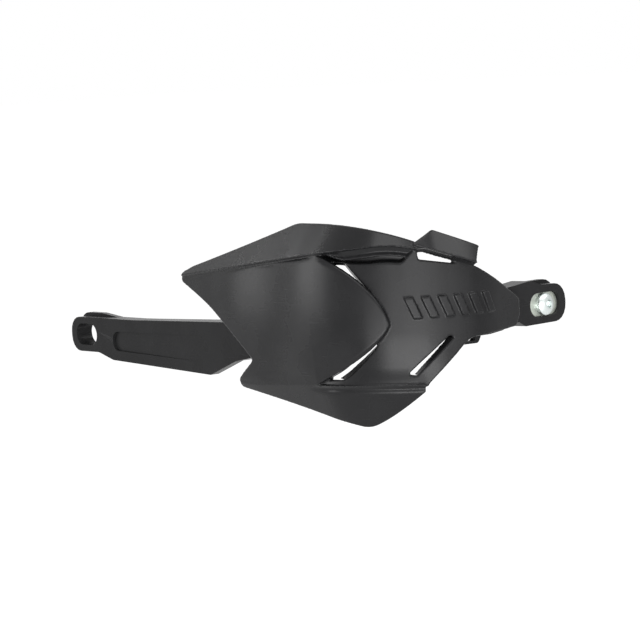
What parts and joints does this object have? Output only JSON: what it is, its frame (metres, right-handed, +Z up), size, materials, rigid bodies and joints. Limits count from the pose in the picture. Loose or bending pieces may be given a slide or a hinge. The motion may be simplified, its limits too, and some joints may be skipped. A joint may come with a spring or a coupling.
{
  "type": "motorcycle hand guard",
  "caption": "Wrap-around hand guard: slotted moulded bar from the handlebar's end to an inboard eye, with a pointed vented wind shield screwed to its front.",
  "frame": {"origin": "on the handlebar's axis at its end face, where the insert's flange bears", "axes": "+X outward along the handlebar's end, -Y to the front, +Z up"},
  "size_m": [0.3782, 0.1521, 0.1222],
  "materials": {
    "bar_plastic": "fine moulded grain, satin",
    "shield_plastic": "fine moulded grain, satin",
    "insert_metal": "tumbled, dull",
    "fixing_steel": "zinc plated"
  },
  "bodies": {
    "root": {"bar": "bar_plastic", "shield": "shield_plastic", "outer_insert": "insert_metal", "bar_end_washer": "fixing_steel", "bar_end_bolt": "fixing_steel", "expander_sleeve": "insert_metal", "expander_cone": "insert_metal", "shield_screw_1": "fixing_steel", "shield_screw_2": "fixing_steel", "shield_screw_3": "fixing_steel", "shield_screw_4": "fixing_steel", "shield_washer_1": "fixing_steel", "shield_washer_2": "fixing_steel", "shield_washer_3": "fixing_steel", "shield_washer_4": "fixing_steel"}
  },
  "joints": []
}
